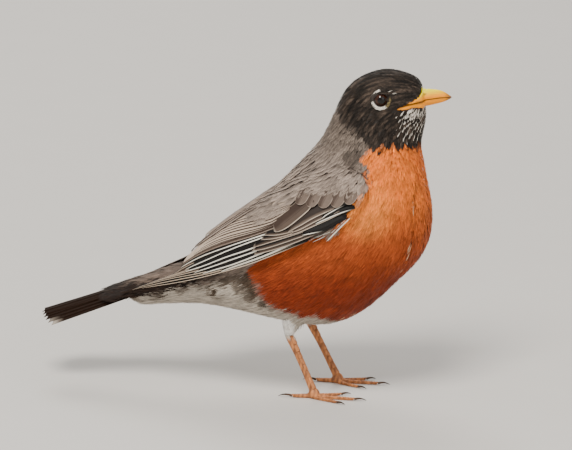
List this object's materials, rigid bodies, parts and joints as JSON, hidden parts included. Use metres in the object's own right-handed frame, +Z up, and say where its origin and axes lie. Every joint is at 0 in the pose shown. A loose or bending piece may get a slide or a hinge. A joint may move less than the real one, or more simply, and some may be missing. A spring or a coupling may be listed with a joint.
{
  "type": "american robin",
  "caption": "Life-size still model of a standing thrush with a dark hooded head, yellow bill, rufous breast, folded grey-brown wings and a closed dark tail.",
  "frame": {"origin": "on the floor under the middle of the whole box", "axes": "+X towards the bill, +Y towards the bird's left side, +Z up; the feet stand on z = 0"},
  "size_m": [0.2032, 0.0726, 0.1619],
  "materials": {
    "plumage": "soft overlapping body feathers, rufous below, grey-brown above, black on the head and white at the vent",
    "flight_feathers": "smooth wing and tail feathers, brown-black with pale edges",
    "bill_horn": "satin yellow horn, dusky at the tip",
    "leg_scales": "smooth brown scutes",
    "claw_horn": "satin dark horn",
    "eye": "wet gloss, dark brown iris"
  },
  "bodies": {
    "root": {"head": "plumage", "neck": "plumage", "trunk": "plumage", "rump": "plumage", "thigh_right": "plumage", "thigh_left": "plumage", "wing_coverts_right": "flight_feathers", "wing_secondaries_right": "flight_feathers", "wing_primaries_right": "flight_feathers", "wing_coverts_left": "flight_feathers", "wing_secondaries_left": "flight_feathers", "wing_primaries_left": "flight_feathers", "tail": "flight_feathers", "tarsus_right": "leg_scales", "foot_right": "leg_scales", "toe_middle_right": "leg_scales", "toe_inner_right": "leg_scales", "toe_outer_right": "leg_scales", "toe_hind_right": "leg_scales", "tarsus_left": "leg_scales", "foot_left": "leg_scales", "toe_middle_left": "leg_scales", "toe_inner_left": "leg_scales", "toe_outer_left": "leg_scales", "toe_hind_left": "leg_scales", "claw_middle_right": "claw_horn", "claw_inner_right": "claw_horn", "claw_outer_right": "claw_horn", "claw_hind_right": "claw_horn", "claw_middle_left": "claw_horn", "claw_inner_left": "claw_horn", "claw_outer_left": "claw_horn", "claw_hind_left": "claw_horn", "bill_upper": "bill_horn", "bill_lower": "bill_horn", "eye_right": "eye", "eye_left": "eye"}
  },
  "joints": []
}
